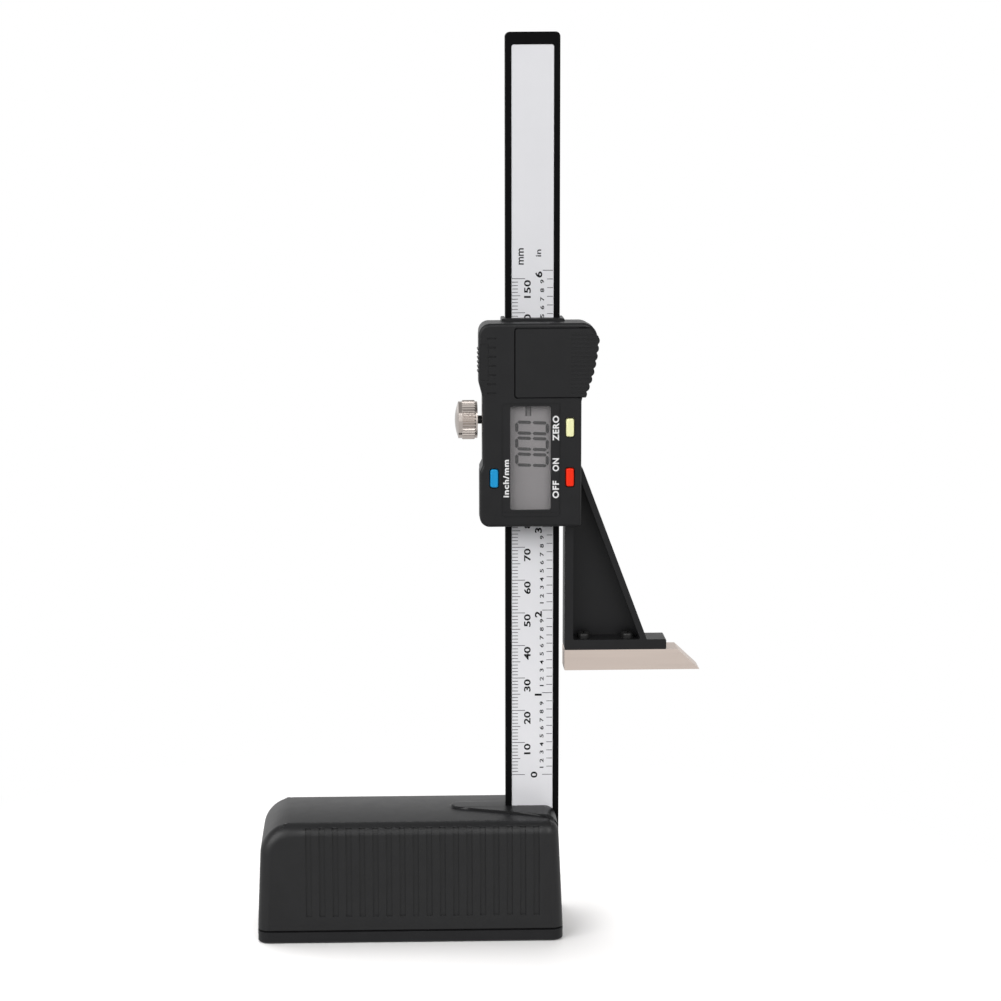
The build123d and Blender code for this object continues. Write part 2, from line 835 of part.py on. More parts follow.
def front_cover():
    """Moulded shell with display bezel, key openings, battery bay, posts and grip details."""
    body = upright(slider_outline(), -cover_front, -frame_front)
    body = fillet(body.faces().sort_by(Axis.Y)[0].edges(), edge_round)
    body = body - upright(slider_outline(-cover_wall), -face_inside, -frame_front + 1)
    body = body + cover_inside()
    body = body - upright(rect(bezel_left, bezel_right, bezel_low, bezel_high, window_corner),
                          -cover_front - 1, -cover_front + bezel_depth * 0.6)
    body = body - upright(rect(bezel_left + bezel_rim, bezel_right - bezel_rim,
                               bezel_low + bezel_step, bezel_high - bezel_rim, window_corner),
                          -cover_front - 1, -cover_front + bezel_depth)
    body = body - upright(rect(window_left, window_right, window_low, window_high,
                               window_corner), -cover_front - 1, -face_inside + 0.5)
    for x, z in switch_places():
        body = body - key_opening(x, z)
    body = body - door_cutter()
    body = body - rod_y(battery_x, -cover_front, -frame_front + 1, battery_z,
                        battery_radius + 3 * seat)
    for x, z in screw_places():
        body = body - rod_y(x, -face_inside + 0.8, -frame_front + 1, z, m16_radius + seat)
    return grip_details(body)


def cover_inside():
    """Posts, display well, battery bay floor and ring, all within the outline."""
    well = upright(centred(glass_width + 2 * seat + 2 * well_wall,
                           glass_length + 2 * seat + 2 * well_wall), -face_inside, -frame_front - 1.2)
    well = well - upright(centred(glass_width + 2 * seat, glass_length + 2 * seat),
                          -face_inside, -frame_front)
    inside = well
    for x, z in screw_places():
        inside = inside + rod_y(x, -face_inside, -frame_front, z, pillar_radius)
    floor = upright(rect(door_left - 2, wing_right, door_low - 1, slider_height),
                    -face_inside - 1, -door_floor + bay_floor)
    ring = rod_y(battery_x, -door_floor, -frame_front, battery_z,
                 battery_radius + 3 * seat + ring_wall)
    clip_slot = box(battery_x - battery_radius - 3, battery_x - battery_radius + 1,
                    -door_floor + bay_floor, 0, battery_z - 1.8, battery_z + 1.8)
    inside = inside + floor + (ring - clip_slot)
    return inside & upright(slider_outline(-cover_wall / 2), -cover_front + 0.4, -frame_front)


def grip_details(body):
    """Short grooves, a sunk thumb pad and small teeth on the left edge."""
    for i in range(grip_count):
        z = slider_height - grip_drop - i * grip_pitch
        body = body - box(grip_left, grip_right, -cover_front - 1, -cover_front + grip_depth,
                          z - grip_width / 2, z + grip_width / 2)
    body = body - box(pad_left, pad_right, -cover_front - 1, -cover_front + pad_depth,
                      slider_height - pad_drop_low, slider_height - pad_drop_high)
    for i in range(tooth_count):
        z = slider_height - tooth_drop - i * tooth_pitch
        tooth = Pos(-upper_left, 0, z) * Rot(0, 45, 0)
        tooth = tooth * Box(tooth_size * 0.6, cover_front - frame_front - 2, tooth_size * 0.6)
        body = body + Pos(0, -(cover_front + frame_front) / 2, 0) * tooth
    return body


def door_edge():
    """Curve of the battery cover's thumb edge, from its foot to its widest place."""
    middle = (door_low + door_high) / 2 - door_edge_break
    top = door_high - door_edge_round
    return ThreePointArc((door_edge_low, door_low), (door_edge_mid, middle), (door_edge_wide, top))


def door_outline():
    """Battery cover from the front, with lobes along its curved thumb edge."""
    top = (door_edge_wide, door_high - door_edge_round)
    end = (door_edge_wide - door_edge_round, door_high)
    edge = door_edge() + Line(top, end) + Polyline(
        end, (door_left, door_high), (door_left, door_low), (door_edge_low, door_low))
    plain = Pos(-lobe_rise, 0) * make_face(edge) & rect(
        door_left, wing_right + lobe_radius, door_low, door_high)
    left = rect(door_left, door_edge_low - 2, door_low, door_high)
    for z in (door_low, door_high):
        left = round_corner(left, door_left, z, door_corner)
    sketch = left + (plain & rect(door_edge_low - 3, wing_right + 3, door_low, door_high))
    for i in range(lobe_count):
        place = door_edge() @ ((i + 0.5) / lobe_count)
        sketch = sketch + Pos(place.X - lobe_radius, place.Y) * Circle(lobe_radius)
    return sketch & rect(door_left, wing_right + lobe_radius, door_low, door_high)


def battery_cover():
    """Sliding door with edge tongues and a ribbed, scalloped thumb end."""
    door = upright(door_outline(), -cover_front, -cover_front + door_thick)
    front = door.faces().sort_by(Axis.Y)[0]
    straight = [e for e in front.edges() if e.geom_type == GeomType.LINE and e.length > door_corner]
    door = chamfer(straight, door_edge_break)
    mid = (door_floor + cover_front) / 2
    for z0, z1 in ((door_low - tongue_width, door_low + 1), (door_high - 1, door_high + tongue_width)):
        door = door + box(door_left + 1, slider_right - 1, -mid - tongue_thick / 2,
                          -mid + tongue_thick / 2, z0, z1)
    count = int((door_high - door_low - 1.5) / door_rib_pitch)
    for i in range(count):
        z = door_low + 1.2 + i * door_rib_pitch
        door = door - box(door_rib_left, wing_right + 3, -cover_front - 1,
                          -cover_front + door_rib_depth, z, z + door_rib_width)
    return door


def battery():
    """Button cell with its stepped negative cap towards the board."""
    back = battery_front - battery_thick
    can = rod_y(battery_x, -battery_front, -back - 0.6, battery_z, battery_radius)
    cap = rod_y(battery_x, -back - 0.6, -back, battery_z, battery_radius - 0.9)
    return fillet(can.edges().filter_by(GeomType.CIRCLE), 0.25) + cap


def battery_spring():
    """Leaf from the board up to the cell's negative cap."""
    back = -(battery_front - battery_thick)
    foot = -board_front
    t = strip_metal
    z = battery_z
    leaf = Polyline((0, foot, z - 4), (0, foot, z - 1.5), (0, back + t, z + 1.0), (0, back + t, z + 3.0),
                    (0, back, z + 3.0), (0, back, z + 0.9), (0, foot - t, z - 1.6),
                    (0, foot - t, z - 4), close=True)
    return Pos(battery_x - 1.5, 0, 0) * extrude(make_face(leaf), amount=3.0, dir=(1, 0, 0))


def battery_clip():
    """Upright contact beside the cell's rim, with a foot on the board."""
    x = battery_x - battery_radius - seat
    t = strip_metal
    tall = box(x - t, x, -(door_floor - bay_floor) + 0.3, -board_front, battery_z - 1.5, battery_z + 1.5)
    foot = box(x - 2.5, x, -board_front - t, -board_front, battery_z - 1.5, battery_z + 1.5)
    return tall + foot


def lock_screw():
    """Knurled thumb screw with a shank that ends on the lock shoe."""
    knob = rod_x(knurl_left, knurl_right, 0, lock_z, knob_radius)
    knob = chamfer(knob.edges().filter_by(GeomType.CIRCLE), knurl_depth)
    groove = Box(knurl_right - knurl_left + 1, knurl_depth * 2, knurl_depth * 2)
    middle = (knurl_left + knurl_right) / 2
    for i in range(knurl_count):
        turn = Pos(middle, 0, lock_z) * Rot(360 * i / knurl_count, 0, 0)
        knob = knob - turn * Pos(0, 0, knob_radius) * Rot(45, 0, 0) * groove
    core = rod_x(cap_left, knob_back, 0, lock_z, knob_radius - knurl_depth)
    dome = rod_x(knob_end, cap_left, 0, lock_z, cap_radius)
    rise = cap_left - knob_end
    ball = (cap_radius ** 2 + rise ** 2) / (2 * rise)
    dome = dome & Pos(knob_end + ball, 0, lock_z) * Sphere(ball)
    shank = rod_x(knob_back, shoe_left(), 0, lock_z, shank_radius)
    return knob + core + dome + shank


def shoe_left():
    """Outer end of the lock shoe at rest, lock_travel short of the gib."""
    return -channel_half - gib_thick - lock_travel - seat - shoe_length


def lock_shoe():
    """Brass pad between the screw's tip and the gib."""
    return rod_x(shoe_left(), shoe_left() + shoe_length, 0, lock_z, shank_radius)


def place_on_column(piece):
    return Pos(column_x, 0, 0) * piece


def place_on_slider(piece):
    return Pos(column_x, 0, slider_z) * piece


def build():
    """Every piece by name, in the part's frame."""
    pieces = {
        "base_housing": base_housing() + post_feet(),
        "base_plate": base_plate(),
        "base_plate_screws": base_plate_screws(),
        "base_magnets": base_magnets(),
        "column_foot": column_foot(),
        "foot_screws": foot_screws(),
    }
    for make in (column, scale_strip, scale_label, column_screws):
        pieces[make.__name__] = place_on_column(make())
    for make in (slider_frame, front_cover, back_plate, slider_screws, gib_strip, lock_insert,
                 circuit_board, tact_switches, display_window, lcd_glass, lcd_connectors,
                 battery, battery_spring, battery_clip, battery_cover, scriber, scriber_screws,
                 lock_screw, lock_shoe):
        pieces[make.__name__] = place_on_slider(make())
    pieces["button_zero"] = place_on_slider(key(*zero_key))
    pieces["button_on_off"] = place_on_slider(key(*power_key))
    pieces["button_units"] = place_on_slider(key(*units_key))
    return pieces


os.makedirs("parts", exist_ok=True)
for name, piece in build().items():
    export_step(piece, f"parts/{name}.step")
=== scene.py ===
import math
import bmesh
import bpy
from mathutils import Matrix, Vector


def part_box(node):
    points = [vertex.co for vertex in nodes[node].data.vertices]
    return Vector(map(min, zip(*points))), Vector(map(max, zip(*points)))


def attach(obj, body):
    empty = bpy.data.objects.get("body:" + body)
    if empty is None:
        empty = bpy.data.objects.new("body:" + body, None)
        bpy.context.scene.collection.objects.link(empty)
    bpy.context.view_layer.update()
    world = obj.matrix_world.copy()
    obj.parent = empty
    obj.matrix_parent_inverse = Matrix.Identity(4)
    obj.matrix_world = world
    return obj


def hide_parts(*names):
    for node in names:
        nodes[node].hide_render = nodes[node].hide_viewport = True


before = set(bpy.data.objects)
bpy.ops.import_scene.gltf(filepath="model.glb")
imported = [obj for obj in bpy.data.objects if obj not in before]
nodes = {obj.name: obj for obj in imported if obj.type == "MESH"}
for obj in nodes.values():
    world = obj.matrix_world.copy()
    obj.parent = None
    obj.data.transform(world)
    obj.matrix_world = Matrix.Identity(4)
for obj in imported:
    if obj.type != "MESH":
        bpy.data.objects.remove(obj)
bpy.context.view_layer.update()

# Digital height gauge. Sizes are in millimetres, and MM turns them into metres.
MM = 0.001

# Printed scale: places across the column are from its middle, heights are from the floor.
# A style is the letters' weight and their stretch along the column.
scale_zero = 47.0
scale_length = 150
inch = 25.4
inch_tenths = 60
tick_width = 0.2
mm_tick_start = -6.05
mm_tick_ends = (-4.3, -3.6, -2.2)      # each millimetre, each 5, each 10
inch_tick_end = 5.95
inch_tick_starts = (4.25, 3.0)         # each tenth, each inch
mm_number_top = -2.5
mm_number_cap = 2.0
mm_number_gap = 0.4                    # from a number's end up to its tick
mm_number_style = (0.024, 1.5)
tenth_number_top = 2.25
tenth_number_cap = 1.15
tenth_number_gap = 0.15
tenth_number_style = (0.02, 1.6)
inch_number_top = 0.75
inch_number_cap = 2.1
inch_number_gap = 0.3
inch_number_style = (0.03, 1.4)
zero_top = -0.45
zero_end = 47.9
unit_weight = 0.015
print_lift = 0.02                      # print stands this far off its ground
ghost_lift = 0.01                      # and an unlit segment this far
UNIT_WORDS = (                         # word, letter tops, letter height, start, end
    ("mm", -4.1, 1.5, 201.1, 205.9),
    ("in", 0.95, 1.55, 203.4, 205.5),
)

# Display: digits read upwards; a place is left, right, low and high
digit_foot = 4.4
digit_head = -5.49
digit_starts = (142.1, 146.85, 151.55)
digit_width = 4.15
digit_slant = 0.045
stroke = 0.95
stroke_gap = 0.12
mark_place = (-2.5, -0.75, 157.4, 160.4)
mark_strips = ((-2.5, -2.05, 157.4, 160.4), (-1.15, -0.75, 157.4, 160.4))
point_place = (3.75, 4.35, 146.2, 146.8)

# Words beside the window, printed on the bezel's floor
bezel_depth = 0.35
key_word_weight = 0.035
key_word_spacing = 1.14
KEY_WORDS = (                          # word, letter tops, letter height, start, end
    ("ZERO", 5.33, 1.92, 150.35, 157.74),
    ("ON", 5.33, 1.92, 141.3, 145.2),
    ("OFF", 5.33, 1.92, 133.3, 138.5),
    ("inch/mm", -9.15, 1.75, 133.7, 144.85),
)

# Lock screw: the knob's back is this far left of the column's middle
knob_back = 16.25

# Base shell
edge_radius = 3.5
arc_y = 13.222                         # rounding's centre, from the base's middle plane
groove_depth = 0.6
groove_runout = 0.1
groove_end = (34.9, 35.15)             # heights between which a groove runs out
level_slack = 0.01                     # for vertices that lie on those heights
floor_reach = 0.06                     # a groove floor's vertex is this near its arc
tongue_rise = 0.6
crown_foot = 24.0
crown_lift = 0.6
crown_sag = 0.6
crown_strips = range(-12, 13, 2)       # cuts along the roof that let it curve
cut_reach = 0.0001                     # a vertex this near a cut lies on it
double_reach = 0.002                   # doubled vertices are this near each other
high_double_reach = 0.07               # the same for slivers on the rounding
shortest_edge = 0.001
sharp_angle = 25                       # degrees, above which an edge stays sharp

# Surface textures: scales are per metre, heights in mm
cloud_scale = 220
grain_scale = 3200
grain_strength = 0.25
grain_height = 0.04
moulded_spread = (-0.04, 0.05)         # how far the roughness wanders from its level
streak_strength = 0.15
streak_height = 0.02
metal_spread = (-0.05, 0.06)
metal_shade = 0.93                     # level of the darkest places
film_cloud_scale = 90
film_spread = (-0.02, 0.03)
film_shade = 0.96
lens_cloud_scale = 60
lens_shade = 0.97
lens_rough = 0.06
shank_black = (0.01, 0.01, 0.01, 1)    # on the lock screw's shank

# Picture
picture_width = 1001                   # pixels
sensor_width = 36
clip_range = (0.05, 20)

# Ground and world
floor_size = 8                         # metres
floor_gap = 0.02                       # keeps the floor off the base plate's underside
world_light = 0.2                      # as a light
floor_mirror = 0.7                     # the floor's level in reflections
ceiling_mirror = 0.4                   # the sky's level overhead in reflections
ceiling_low, ceiling_high = 10, 40     # elevations between which it dims, in degrees
floor_white = (0.9, 0.89, 0.885, 1)
floor_fade = (0.07, 0.2)               # metres from the origin, to the white round it
LAMPS = (                              # name, position, target, size, power, mirrored
    ("back", (-0.25, 0.45, 1.1), (0, 0, 0.03), 1.3, 18, False),
    ("left", (-0.8, -0.8, 0.75), (0, 0, 0.12), 1.0, 11, True),
    ("right", (0.5, -1.0, 0.8), (0, 0, 0.12), 0.8, 7, True),
)

column_x = sum(corner[0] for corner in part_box("column")) / 2
label_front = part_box("scale_label")[0][1]
glass_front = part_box("lcd_glass")[0][1]
cover_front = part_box("front_cover")[0][1]
label_print = label_front - print_lift * MM
glass_print = glass_front - print_lift * MM
bezel_print = cover_front + (bezel_depth - print_lift) * MM


def add_object(name, data):
    """New object in the scene."""
    item = bpy.data.objects.new(name, data)
    bpy.context.scene.collection.objects.link(item)
    return item


def add_piece(bm, name, material):
    """New object made from a bmesh, which is freed."""
    mesh = bpy.data.meshes.new(name)
    bm.to_mesh(mesh)
    bm.free()
    mesh.materials.append(material)
    return add_object(name, mesh)


# Materials

def new_material(name):
    """Empty node material with a Principled shader, returned with its tree and shader."""
    mat = bpy.data.materials.new(name)
    mat.use_nodes = True
    tree = mat.node_tree
    tree.nodes.clear()
    out = tree.nodes.new("ShaderNodeOutputMaterial")
    bsdf = tree.nodes.new("ShaderNodeBsdfPrincipled")
    tree.links.new(bsdf.outputs["BSDF"], out.inputs["Surface"])
    return mat, tree, bsdf


def object_coordinates(tree, scale=(1, 1, 1)):
    """Object coordinates, stretched by scale."""
    coord = tree.nodes.new("ShaderNodeTexCoord")
    mapping = tree.nodes.new("ShaderNodeMapping")
    mapping.inputs["Scale"].default_value = scale
    tree.links.new(coord.outputs["Object"], mapping.inputs["Vector"])
    return mapping.outputs["Vector"]


def noise(tree, vector, scale, detail):
    """Noise as a 0..1 field."""
    node = tree.nodes.new("ShaderNodeTexNoise")
    node.inputs["Scale"].default_value = scale
    node.inputs["Detail"].default_value = detail
    tree.links.new(vector, node.inputs["Vector"])
    return node.outputs["Fac"]


def bump(tree, bsdf, height, strength, distance):
    """Relief from a 0..1 field."""
    node = tree.nodes.new("ShaderNodeBump")
    node.inputs["Strength"].default_value = strength
    node.inputs["Distance"].default_value = distance
    tree.links.new(height, node.inputs["Height"])
    tree.links.new(node.outputs["Normal"], bsdf.inputs["Normal"])


def vary(tree, fac, socket, low, high):
    """Drive a value socket between low and high with a 0..1 field."""
    node = tree.nodes.new("ShaderNodeMapRange")
    node.inputs["To Min"].default_value = low
    node.inputs["To Max"].default_value = high
    tree.links.new(fac, node.inputs["Value"])
    tree.links.new(node.outputs["Result"], socket)


def roughen(tree, fac, bsdf, rough, spread):
    """Let the roughness wander about its level with a 0..1 field."""
    vary(tree, fac, bsdf.inputs["Roughness"], rough + spread[0], rough + spread[1])


def blend(tree, fac, low, high, kind="FLOAT"):
    """Between low and high by a 0..1 field: each is a socket, a number or a colour."""
    node = tree.nodes.new("ShaderNodeMix")
    node.data_type = kind
    tree.links.new(fac, node.inputs["Factor"])
    for value, socket in ((low, node.inputs["A"]), (high, node.inputs["B"])):
        if isinstance(value, bpy.types.NodeSocket):
            tree.links.new(value, socket)
        else:
            socket.default_value = value
    return node.outputs["Result"]


def tint(tree, fac, bsdf, dark, light):
    """Mix two colours into the base colour with a 0..1 field."""
    colour = blend(tree, fac, (*dark, 1), (*light, 1), "RGBA")
    tree.links.new(colour, bsdf.inputs["Base Color"])


def shade(colour, level):
    """Colour at a lower level."""
    return tuple(level * c for c in colour)


def moulded(name, dark, light, rough, gloss, grain=1.0):
    """Moulded plastic with a fine spark-eroded texture."""
    mat, tree, bsdf = new_material(name)
    vector = object_coordinates(tree)
    coarse = noise(tree, vector, cloud_scale, 3)
    fine = noise(tree, vector, grain_scale, 2)
    tint(tree, coarse, bsdf, dark, light)
    roughen(tree, coarse, bsdf, rough, moulded_spread)
    bsdf.inputs["Specular IOR Level"].default_value = gloss
    bump(tree, bsdf, fine, grain_strength * grain, grain_height * MM)
    return mat


def metal(name, colour, rough, streak=(1, 1, 1), scale=900):
    """Bare metal, with fine streaks along the axis whose stretch is smallest."""
    mat, tree, bsdf = new_material(name)
    bsdf.inputs["Metallic"].default_value = 1.0
    lines = noise(tree, object_coordinates(tree, streak), scale, 4)
    tint(tree, lines, bsdf, shade(colour, metal_shade), colour)
    roughen(tree, lines, bsdf, rough, metal_spread)
    bump(tree, bsdf, lines, streak_strength, streak_height * MM)
    return mat


def blacken_past(mat, x):
    """Black, not metallic, on the part of a bare metal piece that lies past x in its own frame.
    """
    tree = mat.node_tree
    bsdf = tree.nodes["Principled BSDF"]
    split = tree.nodes.new("ShaderNodeSeparateXYZ")
    tree.links.new(object_coordinates(tree), split.inputs["Vector"])
    step = tree.nodes.new("ShaderNodeMath")
    step.operation = "GREATER_THAN"
    step.inputs[1].default_value = x
    tree.links.new(split.outputs["X"], step.inputs[0])
    bare = bsdf.inputs["Base Color"].links[0].from_socket
    colour = blend(tree, step.outputs["Value"], bare, shank_black, "RGBA")
    tree.links.new(colour, bsdf.inputs["Base Color"])
    vary(tree, step.outputs["Value"], bsdf.inputs["Metallic"], 1.0, 0.0)


def plain(name, colour, rough, gloss=0.3):
    """Smooth surface with a faint cloudiness."""
    mat, tree, bsdf = new_material(name)
    cloud = noise(tree, object_coordinates(tree), film_cloud_scale, 3)
    tint(tree, cloud, bsdf, shade(colour, film_shade), colour)
    roughen(tree, cloud, bsdf, rough, film_spread)
    bsdf.inputs["Specular IOR Level"].default_value = gloss
    return mat


def clear(name, colour, cover):
    """Clear moulded lens: mostly see-through, with a polished face."""
    mat, tree, bsdf = new_material(name)
    cloud = noise(tree, object_coordinates(tree), lens_cloud_scale, 2)
    tint(tree, cloud, bsdf, shade(colour, lens_shade), colour)
    bsdf.inputs["Roughness"].default_value = lens_rough
    bsdf.inputs["Alpha"].default_value = cover
    return mat


base_black = moulded("base_black", (0.0045, 0.0045, 0.005), (0.007, 0.0071, 0.0078),
                     rough=0.4, gloss=0.4)
slider_black = moulded("slider_black", (0.006, 0.006, 0.0066), (0.009, 0.0091, 0.01),
                       rough=0.42, gloss=0.28)
column_black = moulded("column_black", (0.002, 0.002, 0.0022), (0.0035, 0.0035, 0.0038),
                       rough=0.4, gloss=0.05, grain=0.4)
plate_black = moulded("plate_black", (0.01, 0.01, 0.011), (0.013, 0.013, 0.014),
                      rough=0.4, gloss=0.2, grain=0.5)
screw_black = moulded("screw_black", (0.01, 0.01, 0.01), (0.018, 0.018, 0.018),
                      rough=0.35, gloss=0.3, grain=0.3)
screw_metal = metal("screw_metal", (0.5, 0.49, 0.47), 0.35)
nickel = metal("nickel", (0.6, 0.54, 0.5), 0.16, streak=(0.2, 1, 1), scale=700)
blacken_past(nickel, column_x - knob_back * MM)
magnet_metal = metal("magnet_metal", (0.6, 0.6, 0.61), 0.25)
aluminium = metal("aluminium", (0.62, 0.63, 0.64), 0.35)
brass = metal("brass", (0.75, 0.56, 0.28), 0.3)
bronze = metal("bronze", (0.62, 0.44, 0.24), 0.3)
steel = metal("steel", (0.55, 0.55, 0.55), 0.32, streak=(1, 1, 0.05))
scriber_metal = metal("scriber_metal", (0.74, 0.635, 0.57), 0.38, streak=(0.04, 1, 1))
laminate = plain("laminate", (0.03, 0.12, 0.05), 0.4)
label_film = plain("label_film", (0.8, 0.8, 0.825), 0.45)
display_face = plain("display_face", (0.24, 0.226, 0.231), 0.35)
rubber = plain("rubber", (0.2, 0.2, 0.2), 0.7)
switch_black = plain("switch_black", (0.03, 0.03, 0.03), 0.5)
key_yellow = plain("key_yellow", (1.0, 1.0, 0.56), 0.42)
key_red = plain("key_red", (1.0, 0.028, 0.003), 0.42)
key_blue = plain("key_blue", (0.01, 0.32, 0.67), 0.42)
ink_black = plain("ink_black", (0.012, 0.012, 0.013), 0.6, gloss=0.1)
ink_grey = plain("ink_grey", (0.1, 0.1, 0.104), 0.6, gloss=0.1)
ink_white = plain("ink_white", (0.85, 0.85, 0.85), 0.6, gloss=0.1)
segment_ink = plain("segment_ink", (0.018, 0.017, 0.018), 0.4, gloss=0.1)
ghost_ink = plain("ghost_ink", (0.12, 0.112, 0.115), 0.4, gloss=0.1)
lens = clear("lens", (0.75, 0.75, 0.75), cover=0.06)

LOOKS = {
    "base_housing": base_black, "base_plate": plate_black, "base_plate_screws": screw_metal,
    "base_magnets": magnet_metal, "column_foot": aluminium, "foot_screws": screw_metal,
    "column": column_black, "column_screws": screw_metal, "scale_strip": laminate,
    "scale_label": label_film, "slider_frame": slider_black, "front_cover": slider_black,
    "back_plate": steel, "slider_screws": screw_metal, "gib_strip": bronze,
    "lock_insert": brass, "lock_shoe": brass, "lock_screw": nickel, "circuit_board": laminate,
    "tact_switches": switch_black, "display_window": lens, "lcd_glass": display_face,
    "lcd_connectors": rubber, "battery": magnet_metal, "battery_spring": steel,
    "battery_clip": steel, "battery_cover": slider_black, "button_zero": key_yellow,
    "button_on_off": key_red, "button_units": key_blue, "scriber": scriber_metal,
    "scriber_screws": screw_black,
}
for name, material in LOOKS.items():
    materials = nodes[name].data.materials
    if not materials:
        materials.append(material)
    for i in range(len(materials)):
        materials[i] = material


# Base shell

def cut_shell(bm):
    """Edges for the grooves to end on and for the roof to bend along."""
    planes = [((0, 0, level), (0, 0, 1)) for level in (crown_foot, *groove_end)]
    planes += [((0, y, 0), (0, 1, 0)) for y in crown_strips]
    for place, normal in planes:
        parts = bm.verts[:] + bm.edges[:] + bm.faces[:]
        bmesh.ops.bisect_plane(bm, geom=parts, dist=cut_reach * MM, plane_no=normal,
                               plane_co=[c * MM for c in place])


def on_groove_floor(y, z, arc_z):
    """Whether a point on the rounding is on a groove's floor and not on the skin beside it."""
    if z <= groove_end[1] - level_slack or abs(y) <= arc_y - groove_depth - groove_runout:
        return False
    across, up = abs(y) - arc_y, z - arc_z
    skin = abs(math.hypot(across, up) - edge_radius)
    floor = abs(math.hypot(across + groove_depth, up + groove_runout) - edge_radius)
    return floor < skin and floor < floor_reach


def crown_at(y, z, top):
    """Lift of a point: nothing below the crown's foot, and most along the roof's ridge."""
    share = min(1.0, max(0.0, (z - crown_foot) / (top - crown_foot)))
    share = share * share * (3 - 2 * share)
    return share * (crown_lift - crown_sag * (y / arc_y) ** 2)


def base_shell():
    """Copy of the housing that stands for it: grooves end on the rounding, the top is crowned."""
    bm = bmesh.new()
    bm.from_mesh(nodes["base_housing"].data)
    bmesh.ops.remove_doubles(bm, verts=bm.verts[:], dist=double_reach * MM)
    cut_shell(bm)
    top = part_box("base_housing")[1][2] / MM - tongue_rise
    for v in bm.verts:
        x, y, z = (c / MM for c in v.co)
        if on_groove_floor(y, z, top - edge_radius):
            y += math.copysign(groove_depth, y)
            z += groove_runout
        v.co = (x * MM, y * MM, (z + crown_at(y, z, top)) * MM)
    high = [v for v in bm.verts if v.co.z > groove_end[1] * MM]
    bmesh.ops.remove_doubles(bm, verts=high, dist=high_double_reach * MM)
    bmesh.ops.dissolve_degenerate(bm, edges=bm.edges[:], dist=shortest_edge * MM)
    for face in bm.faces:
        face.smooth = True
    piece = add_piece(bm, "base_shell", base_black)
    piece.data.set_sharp_from_angle(angle=math.radians(sharp_angle))
    even = piece.modifiers.new("even", "WEIGHTED_NORMAL")
    even.keep_sharp = True
    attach(piece, "base")
    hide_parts("base_housing")


base_shell()


# Print: flat shapes in the X-Z plane that face the reader

def add_shape(bm, points, depth):
    """Flat face with its corners given in mm from the column's middle and from the floor."""
    corners = [bm.verts.new((column_x + x * MM, depth, z * MM)) for x, z in points]
    bm.faces.new(corners)


def add_bar(bm, left, right, low, high, depth):
    """Upright rectangle."""
    add_shape(bm, ((left, low), (right, low), (right, high), (left, high)), depth)


def word_mesh(text, weight, spacing):
    """Flat mesh of a word in Blender's own font."""
    curve = bpy.data.curves.new("word", "FONT")
    curve.body = text
    curve.space_character = spacing
    curve.offset = weight
    curve.resolution_u = 3
    holder = bpy.data.objects.new("word", curve)
    mesh = bpy.data.meshes.new_from_object(holder)
    bpy.data.objects.remove(holder)
    bpy.data.curves.remove(curve)
    return mesh


def add_word(bm, text, top, cap, low, high, depth, weight, stretch=1.0, spacing=1.0):
    """Word that reads upwards: letter tops at x = top, from z = low to high, in mm.

    With low left as None, its length follows from cap and stretch."""
    mesh = word_mesh(text, weight, spacing)
    xs = [v.co.x for v in mesh.vertices]
    ys = [v.co.y for v in mesh.vertices]
    wide = max(xs) - min(xs)
    tall = max(ys) - min(ys)
    length = wide / tall * cap * stretch if low is None else high - low
    start = high - length
    for v in mesh.vertices:
        along = (v.co.x - min(xs)) / wide * length
        down = (max(ys) - v.co.y) / tall * cap
        v.co = (column_x + (top + down) * MM, depth, (start + along) * MM)
    bm.from_mesh(mesh)
    bpy.data.meshes.remove(mesh)


def finish_print(bm, name, material, body):
    """Turn the collected shapes into one piece that faces the reader and rides on a body."""
    for face in bm.faces:
        face.normal_update()
        if face.normal.y > 0:
            face.normal_flip()
    piece = add_piece(bm, name, material)
    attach(piece, body)


def scale_ticks():
    """Millimetre ticks on the left of the label and tenths of an inch on the right."""
    bm = bmesh.new()
    half = tick_width / 2
    for n in range(scale_length + 1):
        end = mm_tick_ends[0]
        if n % 5 == 0:
            end = mm_tick_ends[1]
        if n % 10 == 0:
            end = mm_tick_ends[2]
        z = scale_zero + n
        add_bar(bm, mm_tick_start, end, z - half, z + half, label_print)
    for n in range(inch_tenths + 1):
        start = inch_tick_starts[1] if n % 10 == 0 else inch_tick_starts[0]
        z = scale_zero + n * inch / 10
        add_bar(bm, start, inch_tick_end, z - half, z + half, label_print)
    finish_print(bm, "scale_ticks", ink_grey, "base")


def scale_numbers():
    """Numbers beside the ticks, all reading upwards."""
    bm = bmesh.new()
    depth = label_print
    add_word(bm, "0", zero_top, mm_number_cap, None, zero_end, depth, *mm_number_style)
    for n in range(10, scale_length + 1, 10):
        end = scale_zero + n - mm_number_gap
        add_word(bm, str(n), mm_number_top, mm_number_cap, None, end, depth, *mm_number_style)
    for n in range(1, inch_tenths + 1):
        z = scale_zero + n * inch / 10
        if n % 10 == 0:
            add_word(bm, str(n // 10), inch_number_top, inch_number_cap,
                     None, z - inch_number_gap, depth, *inch_number_style)
        else:
            add_word(bm, str(n % 10), tenth_number_top, tenth_number_cap,
                     None, z - tenth_number_gap, depth, *tenth_number_style)
    for text, top, cap, low, high in UNIT_WORDS:
        add_word(bm, text, top, cap, low, high, depth, unit_weight)
    finish_print(bm, "scale_numbers", ink_black, "base")


def stroke_shape(a, b):
    """Pointed stroke of a seven-segment digit from a to b, both along or both across."""
    half = stroke / 2
    (a0, b0), (a1, b1) = a, b
    if a0 == a1:
        return ((a0, b0), (a0 + half, b0 + half), (a0 + half, b1 - half),
                (a0, b1), (a0 - half, b1 - half), (a0 - half, b0 + half))
    return ((a0, b0), (a0 + half, b0 - half), (a1 - half, b0 - half),
            (a1, b0), (a1 - half, b0 + half), (a0 + half, b0 + half))


